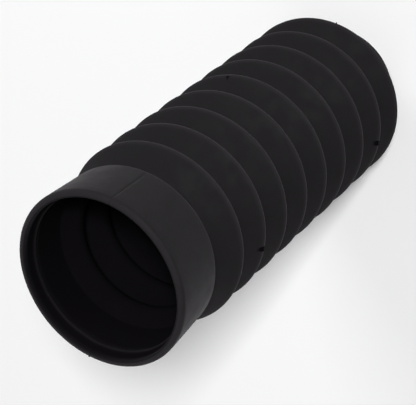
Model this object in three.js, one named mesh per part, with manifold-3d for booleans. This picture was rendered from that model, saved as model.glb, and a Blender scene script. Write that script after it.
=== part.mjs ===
// Fork gaiter: one rubber moulding that covers the sliding tubes of a motorcycle fork.
// A wide cuff slips over the lower tube, nine convolutions fold as the fork works, and a
// narrow collar grips the upper tube. Millimetres, +Z up. The gaiter stands on the end face
// of its collar, with the cuff's mouth at the top, and the origin is the centre of that face.
// The two halves of the mould part on the XZ plane.
import * as THREE from "three";
import { mergeVertices } from "three/addons/utils/BufferGeometryUtils.js";
import Module from "manifold-3d";

// Bellows: radii are measured on the outside of the wall, which is thickest at the crests
const CONVOLUTIONS = 9;
const PITCH = 16.85;
const CREST_RADIUS = 35;
const ROOT_RADIUS = 26.8;
const CREST_ROUND = 0.8;
const CREST_FOLD_ROUND = 0.4;
const ROOT_ROUND = 2;
const BELLOWS_WALL = 1.7;

// Collar at the bottom, with a bead round its end that keeps a clip from slipping off
const COLLAR_BORE_RADIUS = 21;
const COLLAR_WALL = 2.4;
const COLLAR_LENGTH = 8.8;
const COLLAR_FILLET = 2.5;
const END_FLANK_HEIGHT = 11.4;
const END_BEAD_RISE = 1.1;
const END_BEAD_ROUND = 1.5;
const END_BEAD_FILLET = 0.6;
const END_EDGE_ROUND = 0.5;

// Cuff at the top, whose wall thickens towards a full-round lip
const CUFF_BORE_RADIUS = 30;
const CUFF_WALL = 2.2;
const CUFF_LENGTH = 23.3;
const LIP_THICKNESS = 2.9;
const SHOULDER_ROUND = 1.5;
const SHOULDER_HEIGHT = 7.3;
const SOCKET_CORNER_ROUND = 0.8;

// Rib inside the cuff that snaps into a groove of the lower tube
const RIB_DEPTH = 6.3;
const RIB_RISE = 0.7;
const RIB_ROUND = 0.5;
const RIB_FILLET = 0.8;

// Breathing holes through two crests, a little on the side that faces the mouth. Crests are
// counted from the mouth, and the azimuth goes from +X towards +Y.
const VENT_DIAMETER = 2.2;
const VENT_ABOVE_CREST = 0.6;
const VENT_AZIMUTH = -88;
const VENTED_CRESTS = [2, 8];

// Fineness of the facets
const TURN_FACETS = 32;
const VENT_FACETS = 12;
const ARC_TOLERANCE = 0.25;
const STEP_LAND = 0.1;

const RUBBER = new THREE.MeshStandardMaterial({ color: 0x1c1b1d, roughness: 0.72, metalness: 0 });

// Which way the surface bends where the profile runs round a circle.
const CONVEX = 1;
const CONCAVE = -1;

const round = (r, z, radius, bend) => ({ r, z, radius, bend });

// The same circle met on the other side of a wall.
const behindWall = (circle, wall) =>
  round(circle.r, circle.z, circle.radius - circle.bend * wall, -circle.bend);

// Height between two touching circles that step the surface out by rise: one convex, one concave.
const stepHeight = (rise, radii) => Math.sqrt(rise * (2 * radii - rise)) + STEP_LAND;

// Angle of the outward normal on the straight line that runs from one circle to the next.
function normalBetween(from, to) {
  const along = Math.atan2(to.z - from.z, to.r - from.r);
  const distance = Math.hypot(to.z - from.z, to.r - from.r);
  const lean = Math.asin((from.bend * from.radius - to.bend * to.radius) / distance);
  return along - Math.PI / 2 + lean;
}

// Points where the profile runs round one circle, from the line before it to the line after it.
// Their number is odd, so that the middle of a crest or a root is one of them.
function arcPoints(before, circle, after) {
  const start = normalBetween(before, circle);
  const full = 2 * Math.PI;
  const turned = (normalBetween(circle, after) - start) * circle.bend;
  const sweep = (((turned % full) + full) % full) * circle.bend;
  const facetAngle = 2 * Math.acos(1 - ARC_TOLERANCE / circle.radius);
  const facets = 2 * Math.ceil(Math.abs(sweep) / facetAngle / 2);
  return Array.from({ length: facets + 1 }, (_, i) => {
    const normal = start + (sweep * i) / facets;
    const reach = circle.bend * circle.radius;
    return new THREE.Vector2(circle.r + reach * Math.cos(normal), circle.z + reach * Math.sin(normal));
  });
}

// A closed profile that passes round each circle in turn and runs straight between them.
function profileRound(circles) {
  const count = circles.length;
  const points = circles.flatMap((circle, i) =>
    arcPoints(circles[(i + count - 1) % count], circle, circles[(i + 1) % count]),
  );
  return [...points, points[0]];
}

// Heights, worked out from the bottom up
const lowestCrest = COLLAR_LENGTH + END_FLANK_HEIGHT;
const topCrest = lowestCrest + (CONVOLUTIONS - 1) * PITCH;
const topRoot = topCrest + PITCH / 2;
const shoulderHeight = topRoot + SHOULDER_HEIGHT;
const mouthHeight = shoulderHeight + CUFF_LENGTH;
const heightOfCrest = (number) => topCrest - (number - 1) * PITCH;

// Each crest of the bellows with the root above it, from the lowest crest to the top root.
const convolutions = Array.from({ length: CONVOLUTIONS }, (_, i) => {
  const height = lowestCrest + i * PITCH;
  return {
    crest: round(CREST_RADIUS - CREST_ROUND, height, CREST_ROUND, CONVEX),
    root: round(ROOT_RADIUS + ROOT_ROUND, height + PITCH / 2, ROOT_ROUND, CONCAVE),
  };
});

// The fold behind a crest, placed so that the flanks beside it are one wall thick.
function foldBehind({ crest, root }) {
  const inwards = (BELLOWS_WALL + CREST_FOLD_ROUND - crest.radius) / Math.cos(normalBetween(crest, root));
  return round(crest.r - inwards, crest.z, CREST_FOLD_ROUND, CONCAVE);
}

// The collar's end face, its bead and the fillet where the last flank begins.
function collarCircles() {
  const outside = COLLAR_BORE_RADIUS + COLLAR_WALL;
  const beadFilletHeight = END_BEAD_ROUND + stepHeight(END_BEAD_RISE, END_BEAD_ROUND + END_BEAD_FILLET);
  return [
    round(COLLAR_BORE_RADIUS + END_EDGE_ROUND, END_EDGE_ROUND, END_EDGE_ROUND, CONVEX),
    round(outside + END_BEAD_RISE - END_BEAD_ROUND, END_BEAD_ROUND, END_BEAD_ROUND, CONVEX),
    round(outside + END_BEAD_FILLET, beadFilletHeight, END_BEAD_FILLET, CONCAVE),
    round(outside + COLLAR_FILLET, COLLAR_LENGTH, COLLAR_FILLET, CONCAVE),
  ];
}

// The cuff's shoulder, its lip, the rib in its bore and the corner where the bore ends.
function cuffCircles() {
  const lipRound = LIP_THICKNESS / 2;
  const ribHeight = mouthHeight - RIB_DEPTH;
  const ribSlope = stepHeight(RIB_RISE, RIB_ROUND + RIB_FILLET);
  const besideRib = CUFF_BORE_RADIUS - RIB_FILLET;
  return [
    round(CUFF_BORE_RADIUS + CUFF_WALL - SHOULDER_ROUND, shoulderHeight, SHOULDER_ROUND, CONVEX),
    round(CUFF_BORE_RADIUS + lipRound, mouthHeight - lipRound, lipRound, CONVEX),
    round(besideRib, ribHeight + ribSlope, RIB_FILLET, CONCAVE),
    round(CUFF_BORE_RADIUS - RIB_RISE + RIB_ROUND, ribHeight, RIB_ROUND, CONVEX),
    round(besideRib, ribHeight - ribSlope, RIB_FILLET, CONCAVE),
    round(CUFF_BORE_RADIUS - SOCKET_CORNER_ROUND, shoulderHeight, SOCKET_CORNER_ROUND, CONCAVE),
  ];
}

// The whole wall in section: up the outside, over the lip and down the inside.
function wallProfile() {
  const collar = collarCircles();
  const boreEntry = behindWall(collar.at(-1), COLLAR_WALL);
  const outside = convolutions.flatMap(({ crest, root }) => [crest, root]);
  const inside = convolutions.flatMap((fold) => [foldBehind(fold), behindWall(fold.root, BELLOWS_WALL)]);
  return profileRound([...collar, ...outside, ...cuffCircles(), ...inside.reverse(), boreEntry]);
}

const wasm = await Module();
wasm.setup();

function solidOf(geometry) {
  geometry.deleteAttribute("normal");
  geometry.deleteAttribute("uv");
  const merged = mergeVertices(geometry);
  const vertProperties = merged.getAttribute("position").array;
  const triVerts = new Uint32Array(merged.index.array);
  return new wasm.Manifold(new wasm.Mesh({ numProp: 3, vertProperties, triVerts }));
}

function geometryOf(solid) {
  const { vertProperties, triVerts } = solid.getMesh();
  const geometry = new THREE.BufferGeometry();
  geometry.setAttribute("position", new THREE.BufferAttribute(vertProperties, 3));
  geometry.setIndex(new THREE.BufferAttribute(triVerts, 1));
  geometry.computeVertexNormals();
  return geometry;
}

// The turned wall, stood upright.
const turnedWall = () => new THREE.LatheGeometry(wallProfile(), TURN_FACETS).rotateX(Math.PI / 2);

// A drill that passes through one crest from outside, as deep as the roots.
function ventDrill(crest) {
  const length = 2 * (CREST_RADIUS - ROOT_RADIUS);
  const drill = new THREE.CylinderGeometry(VENT_DIAMETER / 2, VENT_DIAMETER / 2, length, VENT_FACETS);
  drill.rotateZ(-Math.PI / 2);
  drill.translate(CREST_RADIUS, 0, heightOfCrest(crest) + VENT_ABOVE_CREST);
  return drill.rotateZ(THREE.MathUtils.degToRad(VENT_AZIMUTH));
}

function makeGaiter() {
  const drilled = VENTED_CRESTS.reduce(
    (solid, crest) => solid.subtract(solidOf(ventDrill(crest))),
    solidOf(turnedWall()),
  );
  const mesh = new THREE.Mesh(geometryOf(drilled), RUBBER);
  mesh.name = "gaiter";
  return mesh;
}

const group = new THREE.Group();
group.add(makeGaiter());

export default group;
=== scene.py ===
import math
from collections import namedtuple

import bpy
from mathutils import Euler, Matrix, Vector


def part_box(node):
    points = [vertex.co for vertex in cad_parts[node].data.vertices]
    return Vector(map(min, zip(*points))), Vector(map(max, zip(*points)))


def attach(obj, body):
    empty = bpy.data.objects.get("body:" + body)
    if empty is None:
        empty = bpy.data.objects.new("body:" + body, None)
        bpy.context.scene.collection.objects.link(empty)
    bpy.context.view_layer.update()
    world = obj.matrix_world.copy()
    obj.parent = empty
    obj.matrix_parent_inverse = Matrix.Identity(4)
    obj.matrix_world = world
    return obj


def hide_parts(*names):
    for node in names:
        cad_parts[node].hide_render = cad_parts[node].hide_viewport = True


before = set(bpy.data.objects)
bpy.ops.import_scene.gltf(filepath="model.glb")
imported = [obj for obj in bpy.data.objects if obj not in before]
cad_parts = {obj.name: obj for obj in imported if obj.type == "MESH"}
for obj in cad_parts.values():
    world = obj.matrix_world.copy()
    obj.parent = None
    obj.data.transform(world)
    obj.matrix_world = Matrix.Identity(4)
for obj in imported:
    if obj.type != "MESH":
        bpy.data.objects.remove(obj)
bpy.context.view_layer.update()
_, wall_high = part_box("gaiter")

MM = 0.001
DEGREE = math.pi / 180

# Bellows: radii are measured on the outside of the wall, which is thickest at the crests
CONVOLUTIONS = 9
PITCH = 16.85 * MM
CREST_RADIUS = wall_high.x
ROOT_RADIUS = 26.8 * MM
CREST_ROUND = 0.8 * MM
CREST_FOLD_ROUND = 0.4 * MM
ROOT_ROUND = 2 * MM
BELLOWS_WALL = 1.7 * MM

# Collar at the bottom, with a bead round its end
COLLAR_BORE_RADIUS = 21 * MM
COLLAR_WALL = 2.4 * MM
COLLAR_LENGTH = 8.8 * MM
COLLAR_FILLET = 2.5 * MM
END_BEAD_RISE = 1.1 * MM
END_BEAD_ROUND = 1.5 * MM
END_BEAD_FILLET = 0.6 * MM
END_EDGE_ROUND = 0.5 * MM

# Cuff at the top, whose wall thickens towards a lip that is round outside and crisp inside
CUFF_BORE_RADIUS = 30 * MM
CUFF_WALL = 2.2 * MM
CUFF_LENGTH = 23.3 * MM
LIP_THICKNESS = 2.6 * MM
LIP_ROUND = 1.8 * MM
LIP_EDGE_ROUND = 0.35 * MM
SHOULDER_ROUND = 1.5 * MM
SHOULDER_HEIGHT = 7.3 * MM
SOCKET_CORNER_ROUND = 0.8 * MM

# Rib inside the cuff
RIB_DEPTH = 6.3 * MM
RIB_RISE = 0.7 * MM
RIB_ROUND = 0.5 * MM
RIB_FILLET = 0.8 * MM

# Breathing holes through two crests, counted from the mouth
VENT_DIAMETER = 2.2 * MM
VENT_ABOVE_CREST = 0.25 * MM
VENT_AZIMUTH = -88 * DEGREE
VENTED_CRESTS = (2, 8)

# Shallow mark that the mould's gate leaves beside one crest
GATE_CREST = 5
GATE_AZIMUTH = 21.8 * DEGREE
GATE_RADIUS = 0.4 * MM
GATE_FROM_CREST = 0.5 * MM
GATE_DEPTH = 0.2 * MM

# Fine groove along the cuff where the two halves of the mould met, on the XZ plane, which hardly
# shows on the bellows, and the nibs of flash that are left on it
SEAM_DEPTH = 0.16 * MM
SEAM_ON_BELLOWS = 0.01 * MM
NIB_HEIGHT = 0.5 * MM
NIB_LENGTH = 1.2 * MM
NIB_CREST = 9

# How many facets are gathered towards each parting line, and how near to the line a point counts
# as on it: this angle is divided by the number of facets
SEAM_GATHER = 4
SEAM_HALF_STEP = 0.1

# The soft mouth is a little out of true: the squeeze narrows it one way and widens it across,
# and the shift pushes it sideways
MOUTH_SQUEEZE = 0.85 * MM
SQUEEZE_AZIMUTH = -36 * DEGREE
MOUTH_SHIFT = 0.45 * MM
SHIFT_AZIMUTH = -80 * DEGREE

# How far the soft wall lies out of true, and over what distance and how finely it varies. Noise
# varies round its middle.
UNEVENNESS = 0.2 * MM
UNEVENNESS_SIZE = 40 * MM
UNEVENNESS_DETAIL = 1.0
UNEVENNESS_SEED = 3.0
NOISE_MIDDLE = (0.5, 0.5, 0.5)

# Fineness of the wall
TURN_FACETS = 180
ARC_STEP = 13 * DEGREE
LINE_STEP = 2.6 * MM
VENT_FACETS = 24
GATE_FACETS = 16
STEP_LAND = 0.1 * MM
CREASE_ANGLE = 40 * DEGREE

# Black rubber
RUBBER_DARK = (0.0016, 0.0012, 0.0017, 1)
RUBBER_LIGHT = (0.0078, 0.0067, 0.0080, 1)
# Worn rubber along the crests and lip, which on the crests is also a painted highlight
RUBBER_WORN_AND_HIGHLIGHT = (0.014, 0.0125, 0.014, 1)
# Darker rubber over the inside, a painted shade
RUBBER_INSIDE_PAINTED_SHADE = (0.0040, 0.0034, 0.0043, 1)

# Mottling, whose noise is stretched between two bounds. The share is what it has in the colour,
# and the grain has the rest.
MOTTLE_SIZE = 7 * MM
MOTTLE_DETAIL = 3.0
MOTTLE_SEED = 1.0
MOTTLE_LOW = 0.35
MOTTLE_HIGH = 0.65
MOTTLE_SHARE = 0.7

# Grain, which also roughens the surface
GRAIN_SIZE = 1.1 * MM
GRAIN_DETAIL = 2.0
GRAIN_SEED = 2.0
GRAIN_HEIGHT = 0.05 * MM
GRAIN_STRENGTH = 0.6

# Wear, and on the crests a painted highlight: how far it reaches in from the crests, and how strong it is,
# with what the mottling adds
WORN_AND_HIGHLIGHT_WIDTH = 1.2 * MM
WEAR_AND_HIGHLIGHT = 0.5
WEAR_AND_HIGHLIGHT_FROM_MOTTLE = 0.4

# Finish of the outside, with the bloom that shows at a glancing angle, and of the duller inside
Finish = namedtuple("Finish", "roughness gloss sheen")
OUTSIDE_FINISH = Finish(0.68, 0.125, 0.044)
INSIDE_FINISH = Finish(0.88, 0.02, 0.0)
ROUGHNESS_RANGE = 0.2
SHEEN_ROUGHNESS = 0.5
SHEEN_TINT = (1, 0.93, 1, 1)

# How much of the outside's colour and finish some parts of the inside have: the lip's inner edge
# and the top of the rib, and the rib's lower side. Lifting them out of the painted inside shade makes a
# painted highlight along them.
EDGE_HIGHLIGHT_SHARE = 0.6
RIB_SIDE_HIGHLIGHT_SHARE = 0.3

# White floor and pale room
FLOOR_HALF = 6.0
FLOOR_COLOUR = (0.985, 0.985, 0.99, 1)
ROOM_COLOUR = (1, 1, 1, 1)
ROOM_LIGHT = 0.16

# Soft lights: azimuth from +X towards +Y, elevation, distance from the gaiter, width and power
Lamp = namedtuple("Lamp", "azimuth elevation distance width power")
LAMPS = {
    "key light": Lamp(-26 * DEGREE, 49 * DEGREE, 4.0, 0.6, 144.0),
    "low light": Lamp(35 * DEGREE, 25 * DEGREE, 4.0, 1.5, 50.0),
    "fill light": Lamp(180 * DEGREE, 20 * DEGREE, 4.0, 2.0, 19.0),
}

# The camera: where it stands, its turn about its own axis, and its lens in millimetres
CAMERA_PLACE = Vector((344.4, -222.3, 642.3)) * MM
CAMERA_AZIMUTH = 57.66 * DEGREE
CAMERA_ELEVATION = 51.83 * DEGREE
CAMERA_ROLL = -129.8 * DEGREE
CAMERA_LENS = 156.06

# Heights, worked out from the mouth down
MOUTH_HEIGHT = wall_high.z
SHOULDER = MOUTH_HEIGHT - CUFF_LENGTH
TOP_CREST = SHOULDER - SHOULDER_HEIGHT - PITCH / 2
LOWEST_CREST = TOP_CREST - (CONVOLUTIONS - 1) * PITCH

# Which way the surface bends where the section runs round a circle
CONVEX = 1
CONCAVE = -1

# A circle that the section runs round. Its outside is 1 on the outside of the wall, 0 on the
# inside, and a share between them on a part of the inside that is lifted out of the painted inside shade as
# a painted highlight.
Round = namedtuple("Round", "r z radius bend outside")


def height_of_crest(number):
    """Crests are counted from the mouth."""
    return TOP_CREST - (number - 1) * PITCH


def behind_wall(circle, wall):
    """The same circle met on the other side of a wall."""
    radius = circle.radius - circle.bend * wall
    return circle._replace(radius=radius, bend=-circle.bend, outside=0)


def step_height(rise, radii):
    """Height between two touching circles that step the surface out by rise."""
    return math.sqrt(rise * (2 * radii - rise)) + STEP_LAND


def normal_between(start, end):
    """Angle of the outward normal on the straight line from one circle to the next."""
    along = math.atan2(end.z - start.z, end.r - start.r)
    distance = math.hypot(end.z - start.z, end.r - start.r)
    lean = math.asin((start.bend * start.radius - end.bend * end.radius) / distance)
    return along - math.pi / 2 + lean


def arc_points(before, circle, after):
    """Points where the section runs round one circle."""
    start = normal_between(before, circle)
    sweep = (normal_between(circle, after) - start) * circle.bend % (2 * math.pi) * circle.bend
    steps = 2 * math.ceil(abs(sweep) / ARC_STEP / 2)
    reach = circle.bend * circle.radius
    normals = [start + sweep * i / steps for i in range(steps + 1)]
    return [(circle.r + reach * math.cos(a), circle.z + reach * math.sin(a)) for a in normals]


def line_points(start, end):
    """Points between the ends of a straight stretch, so that it can be bent a little."""
    steps = math.ceil(math.dist(start, end) / LINE_STEP)
    shares = [i / steps for i in range(1, steps)]
    return [tuple(a + (b - a) * share for a, b in zip(start, end)) for share in shares]


def convolution(height):
    """One crest of the bellows, and the root above it."""
    crest = Round(CREST_RADIUS - CREST_ROUND, height, CREST_ROUND, CONVEX, 1)
    root = Round(ROOT_RADIUS + ROOT_ROUND, height + PITCH / 2, ROOT_ROUND, CONCAVE, 1)
    return crest, root


def fold_behind(crest, root):
    """The fold behind a crest, placed so that the flanks beside it are one wall thick."""
    inwards = (BELLOWS_WALL + CREST_FOLD_ROUND - crest.radius) / math.cos(normal_between(crest, root))
    return Round(crest.r - inwards, crest.z, CREST_FOLD_ROUND, CONCAVE, 0)


def collar_circles():
    """The collar's end face, its bead and the fillet where the last flank begins."""
    outside = COLLAR_BORE_RADIUS + COLLAR_WALL
    bead_fillet_height = END_BEAD_ROUND + step_height(END_BEAD_RISE, END_BEAD_ROUND + END_BEAD_FILLET)
    return [
        Round(COLLAR_BORE_RADIUS + END_EDGE_ROUND, END_EDGE_ROUND, END_EDGE_ROUND, CONVEX, 0),
        Round(outside + END_BEAD_RISE - END_BEAD_ROUND, END_BEAD_ROUND, END_BEAD_ROUND, CONVEX, 1),
        Round(outside + END_BEAD_FILLET, bead_fillet_height, END_BEAD_FILLET, CONCAVE, 1),
        Round(outside + COLLAR_FILLET, COLLAR_LENGTH, COLLAR_FILLET, CONCAVE, 1),
    ]


def cuff_circles():
    """The cuff's shoulder, its lip, the rib in its bore and the corner where the bore ends."""
    lip_middle = CUFF_BORE_RADIUS + LIP_THICKNESS - LIP_ROUND
    lip_edge = CUFF_BORE_RADIUS + LIP_EDGE_ROUND
    rib_height = MOUTH_HEIGHT - RIB_DEPTH
    rib_slope = step_height(RIB_RISE, RIB_ROUND + RIB_FILLET)
    beside_rib = CUFF_BORE_RADIUS - RIB_FILLET
    corner = CUFF_BORE_RADIUS - SOCKET_CORNER_ROUND
    return [
        Round(CUFF_BORE_RADIUS + CUFF_WALL - SHOULDER_ROUND, SHOULDER, SHOULDER_ROUND, CONVEX, 1),
        Round(lip_middle, MOUTH_HEIGHT - LIP_ROUND, LIP_ROUND, CONVEX, 1),
        Round(lip_edge, MOUTH_HEIGHT - LIP_EDGE_ROUND, LIP_EDGE_ROUND, CONVEX, EDGE_HIGHLIGHT_SHARE),
        Round(beside_rib, rib_height + rib_slope, RIB_FILLET, CONCAVE, 0),
        Round(CUFF_BORE_RADIUS - RIB_RISE + RIB_ROUND, rib_height, RIB_ROUND, CONVEX, EDGE_HIGHLIGHT_SHARE),
        Round(beside_rib, rib_height - rib_slope, RIB_FILLET, CONCAVE, RIB_SIDE_HIGHLIGHT_SHARE),
        Round(corner, SHOULDER, SOCKET_CORNER_ROUND, CONCAVE, 0),
    ]


def wall_circles():
    """The circles that the section runs round: up the outside, over the lip, down the inside."""
    collar = collar_circles()
    outside = []
    inside = [behind_wall(collar[-1], COLLAR_WALL)]
    for i in range(CONVOLUTIONS):
        crest, root = convolution(LOWEST_CREST + i * PITCH)
        outside += [crest, root]
        inside += [fold_behind(crest, root), behind_wall(root, BELLOWS_WALL)]
    return collar + outside + cuff_circles() + inside[::-1]


def section_mesh():
    """The wall in section on the XZ plane, as a closed ring of edges."""
    circles = wall_circles()
    count = len(circles)
    arcs = [arc_points(circles[i - 1], circles[i], circles[(i + 1) % count]) for i in range(count)]
    points = []
    outside = []
    for i, arc in enumerate(arcs):
        after = (i + 1) % count
        line = line_points(arc[-1], arcs[after][0])
        points += arc + line
        outside += [float(circles[i].outside)] * len(arc)
        outside += [float(min(circles[i].outside, circles[after].outside))] * len(line)
    mesh = bpy.data.meshes.new("section")
    edges = [(i, (i + 1) % len(points)) for i in range(len(points))]
    mesh.from_pydata([(r, 0, z) for r, z in points], edges, [])
    mesh.attributes.new("outside", "FLOAT", "POINT").data.foreach_set("value", outside)
    return mesh


class Value:
    """A socket of a node tree. Arithmetic on it adds the Math nodes for it."""

    def __init__(self, graph, socket):
        self.graph = graph
        self.socket = socket

    def maths(self, operation, *others):
        return self.graph.maths(operation, self, *others)

    def __add__(self, other):
        return self.maths("ADD", other)

    __radd__ = __add__

    def __mul__(self, other):
        return self.maths("MULTIPLY", other)

    __rmul__ = __mul__

    def __sub__(self, other):
        return self.maths("SUBTRACT", other)

    def __rsub__(self, other):
        return self.graph.maths("SUBTRACT", other, self)

    def __truediv__(self, other):
        return self.maths("DIVIDE", other)

    def __rtruediv__(self, other):
        return self.graph.maths("DIVIDE", other, self)

    def __abs__(self):
        return self.maths("ABSOLUTE")

    def __lt__(self, other):
        return self.maths("LESS_THAN", other)

    def __gt__(self, other):
        return self.maths("GREATER_THAN", other)


class Graph:
    """A node tree, written as calls and expressions."""

    def __init__(self, tree):
        self.tree = tree
        tree.nodes.clear()

    def node(self, kind, settings=None, values=None):
        """Adds a node. Its settings are set first, then its sockets, by name or number."""
        made = self.tree.nodes.new(kind)
        for name, setting in (settings or {}).items():
            setattr(made, name, setting)
        sockets = {socket.name: socket for socket in reversed(made.inputs) if socket.enabled}
        sockets.update(enumerate(made.inputs))
        for name, value in (values or {}).items():
            self.feed(sockets[name], value)
        return {socket.name: Value(self, socket) for socket in reversed(made.outputs) if socket.enabled}

    def feed(self, socket, value):
        """Links one value or a list of values to an input socket, or sets a plain one on it."""
        if not isinstance(value, (Value, list)):
            socket.default_value = value
            return
        for source in value if isinstance(value, list) else [value]:
            self.tree.links.new(source.socket, socket)

    def maths(self, operation, *values):
        settings = {"operation": operation}
        return self.node("ShaderNodeMath", settings, dict(enumerate(values)))["Value"]

    def vector_maths(self, operation, *values):
        settings = {"operation": operation}
        return self.node("ShaderNodeVectorMath", settings, dict(enumerate(values)))["Vector"]

    def scaled(self, vector, scale):
        values = {"Vector": vector, "Scale": scale}
        return self.node("ShaderNodeVectorMath", {"operation": "SCALE"}, values)["Vector"]

    def parts(self, vector):
        """The X, Y and Z of a vector."""
        split = self.node("ShaderNodeSeparateXYZ", {}, {"Vector": vector})
        return split["X"], split["Y"], split["Z"]

    def smooth_step(self, value, start, end):
        """0 below start and 1 above end, with a smooth rise between them."""
        settings = {"interpolation_type": "SMOOTHSTEP"}
        values = {"Value": value, "From Min": start, "From Max": end}
        return self.node("ShaderNodeMapRange", settings, values)["Result"]

    def noise(self, place, size, detail, seed):
        """Soft noise, 0 to 1 in Fac and in each part of Color. Size is the width of its patches."""
        values = {"Vector": place, "W": seed, "Scale": 1 / size, "Detail": detail}
        return self.node("ShaderNodeTexNoise", {"noise_dimensions": "4D"}, values)

    def blend(self, share, first, second):
        """A colour between two colours."""
        values = {"Factor": share, "A": first, "B": second}
        return self.node("ShaderNodeMix", {"data_type": "RGBA"}, values)["Result"]


class WallTree(Graph):
    """The geometry nodes that turn the section into the whole moulding."""

    def __init__(self):
        super().__init__(bpy.data.node_groups.new("gaiter wall", "GeometryNodeTree"))
        self.settings = {}
        face = self.tree.interface
        face.new_socket("Section", in_out="INPUT", socket_type="NodeSocketGeometry")
        face.new_socket("Wall", in_out="OUTPUT", socket_type="NodeSocketGeometry")
        self.group_input = self.tree.nodes.new("NodeGroupInput")
        self.group_output = self.tree.nodes.new("NodeGroupOutput")

    def setting(self, name, kind, value):
        """A named input of the tree, with the value that the modifier gives it."""
        socket = self.tree.interface.new_socket(name, in_out="INPUT", socket_type=kind)
        self.settings[socket.identifier] = value
        return Value(self, self.group_input.outputs[name])

    def turned(self, section, facets):
        """Sweeps the section round the Z axis."""
        rail_radius = ROOT_RADIUS
        laid = {"Geometry": section, "Translation": (-rail_radius, 0, 0), "Rotation": (math.pi / 2, 0, 0)}
        flat = self.node("GeometryNodeTransform", {}, laid)["Geometry"]
        profile = self.node("GeometryNodeMeshToCurve", {}, {"Mesh": flat})["Curve"]
        circle = {"Resolution": facets, "Radius": rail_radius}
        rail = self.node("GeometryNodeCurvePrimitiveCircle", {}, circle)["Curve"]
        swept = self.node("GeometryNodeCurveToMesh", {}, {"Curve": rail, "Profile Curve": profile})["Mesh"]
        return self.node("GeometryNodeFlipFaces", {}, {"Mesh": swept})["Mesh"]

    def place(self):
        return self.node("GeometryNodeInputPosition")["Position"]

    def moved(self, mesh, **values):
        """Moves the vertices, to Position or by Offset."""
        return self.node("GeometryNodeSetPosition", {}, {"Geometry": mesh, **values})["Geometry"]

    def angle_from_seam(self):
        """Angle round the axis from the nearer of the two parting lines."""
        x, y, _ = self.parts(self.place())
        angle = self.maths("ARCTAN2", y, x)
        return angle - self.maths("ROUND", angle / math.pi) * math.pi

    def gathered(self, mesh, facets, steps):
        """Draws the facets beside each parting line closer to it, so that a fine groove fits."""
        turn = self.angle_from_seam()
        window = steps * 2 * math.pi / facets
        share = self.maths("MINIMUM", abs(turn) / window, 1.0)
        values = {"Vector": self.place(), "Axis": (0, 0, 1), "Angle": turn * (share - 1)}
        turned = self.node("ShaderNodeVectorRotate", {"rotation_type": "AXIS_ANGLE"}, values)["Vector"]
        return self.moved(mesh, Position=turned)

    def nibs(self, length):
        """1 at the nib of flash on the lowest crest, at +X, and at the one on the lip, at -X."""
        x, _, z = self.parts(self.place())
        on_lip = abs(z - MOUTH_HEIGHT) < length
        on_crest = abs(z - height_of_crest(NIB_CREST)) < length / 2
        front = x > 0
        return on_crest * front + on_lip * (1 - front)

    def seamed(self, mesh, facets, depth, on_bellows, nib_height, nib_length):
        """Sinks the fine groove that the mould leaves on the outside, along both parting lines."""
        on_seam = abs(self.angle_from_seam()) < SEAM_HALF_STEP / facets
        named = {"Name": "outside"}
        outside = self.node("GeometryNodeInputNamedAttribute", {"data_type": "FLOAT"}, named)["Attribute"]
        normal = self.node("GeometryNodeInputNormal")["Normal"]
        _, _, z = self.parts(self.place())
        groove = on_bellows + (depth - on_bellows) * (z > SHOULDER)
        rise = nib_height * self.nibs(nib_length) - groove
        return self.moved(mesh, Offset=self.scaled(normal, on_seam * outside * rise))

    def mouth_pressed(self, mesh, squeeze, shift):
        """Squeezes and shifts the mouth, more and more up the cuff."""
        x, y, z = self.parts(self.place())
        cos = math.cos(SQUEEZE_AZIMUTH)
        sin = math.sin(SQUEEZE_AZIMUTH)
        share = self.maths("MAXIMUM", (z - SHOULDER) / CUFF_LENGTH, 0.0)
        inwards = (x * cos + y * sin) / CUFF_BORE_RADIUS * share * squeeze
        across = (y * cos - x * sin) / CUFF_BORE_RADIUS * share * squeeze
        sideways = (math.cos(SHIFT_AZIMUTH), math.sin(SHIFT_AZIMUTH), 0)
        narrowed = self.moved(mesh, Offset=self.scaled((-cos, -sin, 0), inwards))
        widened = self.moved(narrowed, Offset=self.scaled((-sin, cos, 0), across))
        return self.moved(widened, Offset=self.scaled(sideways, share * shift))

    def uneven(self, mesh, amount, size, seed):
        """Moves the soft wall a little out of true, apart from the end that it stands on."""
        noise = self.noise(self.place(), size, UNEVENNESS_DETAIL, seed)["Color"]
        centred = self.vector_maths("SUBTRACT", noise, NOISE_MIDDLE)
        _, _, z = self.parts(self.place())
        share = self.maths("MINIMUM", z / COLLAR_LENGTH, 1.0)
        return self.moved(mesh, Offset=self.scaled(centred, share * (2 * amount)))

    def vent_drill(self, crest, diameter, facets):
        """The cylinder that cuts one breathing hole."""
        sizes = {"Vertices": facets, "Radius": diameter / 2, "Depth": 2 * (CREST_RADIUS - ROOT_RADIUS)}
        drill = self.node("GeometryNodeMeshCylinder", {}, sizes)["Mesh"]
        x = CREST_RADIUS * math.cos(VENT_AZIMUTH)
        y = CREST_RADIUS * math.sin(VENT_AZIMUTH)
        spot = (x, y, height_of_crest(crest) + VENT_ABOVE_CREST)
        turn = {"Geometry": drill, "Translation": spot, "Rotation": (0, math.pi / 2, VENT_AZIMUTH)}
        return self.node("GeometryNodeTransform", {}, turn)["Geometry"]

    def gate_cutter(self, radius, facets):
        """The ball that sinks the gate's mark into the flank beside its crest."""
        crest, root = convolution(height_of_crest(GATE_CREST))
        normal = normal_between(crest, root)
        out = crest.radius + radius - GATE_DEPTH
        r = crest.r + out * math.cos(normal) - GATE_FROM_CREST * math.sin(normal)
        z = crest.z + out * math.sin(normal) + GATE_FROM_CREST * math.cos(normal)
        sizes = {"Segments": facets, "Rings": facets // 2, "Radius": radius}
        ball = self.node("GeometryNodeMeshUVSphere", {}, sizes)["Mesh"]
        spot = (r * math.cos(GATE_AZIMUTH), r * math.sin(GATE_AZIMUTH), z)
        return self.node("GeometryNodeTransform", {}, {"Geometry": ball, "Translation": spot})["Geometry"]

    def cut(self, mesh, cutters):
        settings = {"operation": "DIFFERENCE", "solver": "MANIFOLD"}
        values = {"Mesh 1": mesh, "Mesh 2": cutters}
        return self.node("GeometryNodeMeshBoolean", settings, values)["Mesh"]

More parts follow.
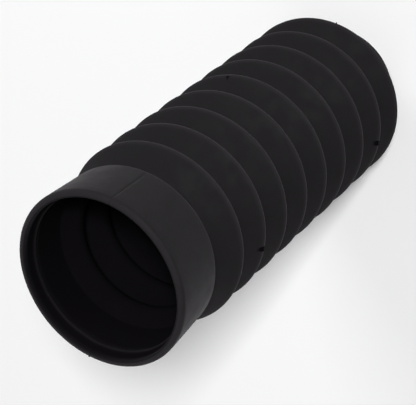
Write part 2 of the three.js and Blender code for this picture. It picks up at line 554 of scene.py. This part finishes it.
    def shaded(self, mesh, crease):
        """Smooth shading, apart from edges sharper than the crease angle."""
        smooth = self.node("GeometryNodeSetShadeSmooth", {}, {"Geometry": mesh})["Geometry"]
        angle = self.node("GeometryNodeInputMeshEdgeAngle")["Unsigned Angle"]
        values = {"Geometry": smooth, "Selection": angle > crease, "Shade Smooth": False}
        return self.node("GeometryNodeSetShadeSmooth", {"domain": "EDGE"}, values)["Geometry"]

    def finish(self, mesh, material):
        real = self.node("GeometryNodeRealizeInstances", {}, {"Geometry": mesh})["Geometry"]
        values = {"Geometry": real, "Material": material}
        painted = self.node("GeometryNodeSetMaterial", {}, values)["Geometry"]
        self.tree.links.new(painted.socket, self.group_output.inputs["Wall"])


def wall_tree(rubber):
    """The whole tree, with its named inputs."""
    tree = WallTree()
    facets = tree.setting("Turn Facets", "NodeSocketInt", TURN_FACETS)
    gather = tree.setting("Seam Gather", "NodeSocketFloat", SEAM_GATHER)
    seam = tree.setting("Seam Depth", "NodeSocketFloat", SEAM_DEPTH)
    on_bellows = tree.setting("Seam Depth On Bellows", "NodeSocketFloat", SEAM_ON_BELLOWS)
    nib_height = tree.setting("Nib Height", "NodeSocketFloat", NIB_HEIGHT)
    nib_length = tree.setting("Nib Length", "NodeSocketFloat", NIB_LENGTH)
    squeeze = tree.setting("Mouth Squeeze", "NodeSocketFloat", MOUTH_SQUEEZE)
    shift = tree.setting("Mouth Shift", "NodeSocketFloat", MOUTH_SHIFT)
    amount = tree.setting("Unevenness", "NodeSocketFloat", UNEVENNESS)
    size = tree.setting("Unevenness Size", "NodeSocketFloat", UNEVENNESS_SIZE)
    seed = tree.setting("Unevenness Seed", "NodeSocketFloat", UNEVENNESS_SEED)
    vent = tree.setting("Vent Diameter", "NodeSocketFloat", VENT_DIAMETER)
    vent_facets = tree.setting("Vent Facets", "NodeSocketInt", VENT_FACETS)
    crease = tree.setting("Crease Angle", "NodeSocketFloat", CREASE_ANGLE)
    material = tree.setting("Material", "NodeSocketMaterial", rubber)
    section = Value(tree, tree.group_input.outputs["Section"])
    wall = tree.turned(section, facets)
    wall = tree.gathered(wall, facets, gather)
    wall = tree.seamed(wall, facets, seam, on_bellows, nib_height, nib_length)
    wall = tree.mouth_pressed(wall, squeeze, shift)
    wall = tree.uneven(wall, amount, size, seed)
    cutters = [tree.vent_drill(crest, vent, vent_facets) for crest in VENTED_CRESTS]
    cutters.append(tree.gate_cutter(GATE_RADIUS, GATE_FACETS))
    wall = tree.cut(wall, cutters)
    tree.finish(tree.shaded(wall, crease), material)
    return tree


def make_gaiter(rubber):
    """Makes the whole moulding, as one plain mesh."""
    tree = wall_tree(rubber)
    piece = bpy.data.objects.new("rubber_gaiter", section_mesh())
    bpy.context.scene.collection.objects.link(piece)
    modifier = piece.modifiers.new("wall", "NODES")
    modifier.node_group = tree.tree
    for identifier, value in tree.settings.items():
        modifier[identifier] = value
    evaluated = piece.evaluated_get(bpy.context.evaluated_depsgraph_get())
    mesh = bpy.data.meshes.new_from_object(evaluated)
    piece.modifiers.remove(modifier)
    piece.data = mesh
    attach(piece, "root")
    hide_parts("gaiter")


def new_material(name):
    material = bpy.data.materials.new(name)
    material.use_nodes = True
    return material, Graph(material.node_tree)


def finished(graph, finish, base, mottle, normal):
    """The rubber with one of its two finishes."""
    values = {
        "Base Color": base,
        "Roughness": finish.roughness + ROUGHNESS_RANGE * mottle,
        "Specular IOR Level": finish.gloss,
        "Sheen Weight": finish.sheen,
        "Sheen Roughness": SHEEN_ROUGHNESS,
        "Sheen Tint": SHEEN_TINT,
        "Normal": normal,
    }
    return graph.node("ShaderNodeBsdfPrincipled", {}, values)["BSDF"]


def rubber_material():
    """Matte black moulded rubber, lighter along the crests and lip, where it is worn and on the crests also
    a painted highlight, darker inside as a painted shade, with a duller finish inside.
    """
    material, graph = new_material("black rubber")
    place = graph.node("ShaderNodeTexCoord")["Object"]
    x, y, z = graph.parts(place)
    radius = graph.maths("SQRT", x * x + y * y)
    outside = graph.node("ShaderNodeAttribute", {"attribute_name": "outside"})["Fac"]
    patches = graph.noise(place, MOTTLE_SIZE, MOTTLE_DETAIL, MOTTLE_SEED)["Fac"]
    mottle = graph.smooth_step(patches, MOTTLE_LOW, MOTTLE_HIGH)
    grain = graph.noise(place, GRAIN_SIZE, GRAIN_DETAIL, GRAIN_SEED)["Fac"]
    # Band along the crests where the rubber is worn, which also carries a painted highlight
    crest = graph.smooth_step(radius, CREST_RADIUS - WORN_AND_HIGHLIGHT_WIDTH, CREST_RADIUS)
    lip = graph.smooth_step(z, MOUTH_HEIGHT - LIP_ROUND, MOUTH_HEIGHT)
    lip = lip * graph.smooth_step(outside, EDGE_HIGHLIGHT_SHARE, 1.0)
    colour = mottle * MOTTLE_SHARE + grain * (1 - MOTTLE_SHARE)
    base = graph.blend(colour, RUBBER_DARK, RUBBER_LIGHT)
    base = graph.blend((crest + lip) * (WEAR_AND_HIGHLIGHT + WEAR_AND_HIGHLIGHT_FROM_MOTTLE * mottle), base, RUBBER_WORN_AND_HIGHLIGHT)
    # Painted shade darkens the inside; the lip's inner edge and the rib keep a share of the outside's
    # colour, a painted highlight
    base = graph.blend(outside, RUBBER_INSIDE_PAINTED_SHADE, base)
    bump = {"Strength": GRAIN_STRENGTH, "Distance": GRAIN_HEIGHT, "Height": grain}
    normal = graph.node("ShaderNodeBump", {}, bump)["Normal"]
    finishes = [finished(graph, finish, base, mottle, normal) for finish in (INSIDE_FINISH, OUTSIDE_FINISH)]
    both = graph.node("ShaderNodeMixShader", {}, {0: outside, 1: finishes[0], 2: finishes[1]})["Shader"]
    graph.node("ShaderNodeOutputMaterial", {}, {"Surface": both})
    return material


def seen_rays(graph):
    """1 for rays that show the background: from the camera, off a gloss or through glass."""
    path = graph.node("ShaderNodeLightPath")
    shown = path["Is Camera Ray"] + path["Is Glossy Ray"] + path["Is Transmission Ray"]
    return graph.maths("MINIMUM", shown, 1.0)


def floor_material():
    """White floor, which the lamps light to just under white."""
    material, graph = new_material("white floor")
    lit = graph.node("ShaderNodeBsdfDiffuse", {}, {"Color": FLOOR_COLOUR})["BSDF"]
    graph.node("ShaderNodeOutputMaterial", {}, {"Surface": lit})
    return material


def make_floor():
    """The plain floor under the collar."""
    mesh = bpy.data.meshes.new("floor")
    corners = [(x * FLOOR_HALF, y * FLOOR_HALF, 0) for x, y in ((-1, -1), (1, -1), (1, 1), (-1, 1))]
    mesh.from_pydata(corners, [], [(0, 1, 2, 3)])
    mesh.materials.append(floor_material())
    floor = bpy.data.objects.new("floor", mesh)
    bpy.context.scene.collection.objects.link(floor)


def pale_room():
    """The world: white where it is seen, and a soft even light on the gaiter."""
    world = bpy.data.worlds.new("pale room")
    world.use_nodes = True
    bpy.context.scene.world = world
    graph = Graph(world.node_tree)
    strength = ROOM_LIGHT + seen_rays(graph) * (1 - ROOM_LIGHT)
    values = {"Color": ROOM_COLOUR, "Strength": strength}
    glow = graph.node("ShaderNodeBackground", {}, values)["Background"]
    graph.node("ShaderNodeOutputWorld", {}, {"Surface": glow})


def make_lamp(name, lamp):
    """A square soft light that faces the middle of the gaiter."""
    level = math.cos(lamp.elevation)
    rise = math.sin(lamp.elevation)
    away = Vector((math.cos(lamp.azimuth) * level, math.sin(lamp.azimuth) * level, rise))
    data = bpy.data.lights.new(name, "AREA")
    data.size = lamp.width
    data.energy = lamp.power
    made = bpy.data.objects.new(name, data)
    made.rotation_euler = away.to_track_quat("Z", "Y").to_euler()
    made.location = Vector((0, 0, MOUTH_HEIGHT / 2)) + away * lamp.distance
    bpy.context.scene.collection.objects.link(made)


def make_camera():
    """Looks down on the gaiter from the side of its mouth."""
    data = bpy.data.cameras.new("camera")
    data.lens = CAMERA_LENS
    camera = bpy.data.objects.new("camera", data)
    aim = Euler((math.pi / 2 - CAMERA_ELEVATION, 0, CAMERA_AZIMUTH)).to_matrix()
    turn = aim @ Matrix.Rotation(CAMERA_ROLL, 3, "Z")
    camera.matrix_world = Matrix.Translation(CAMERA_PLACE) @ turn.to_4x4()
    bpy.context.scene.collection.objects.link(camera)
    bpy.context.scene.camera = camera


bpy.context.scene.view_settings.view_transform = "Standard"
make_gaiter(rubber_material())
make_floor()
pale_room()
for name, lamp in LAMPS.items():
    make_lamp(name, lamp)
make_camera()
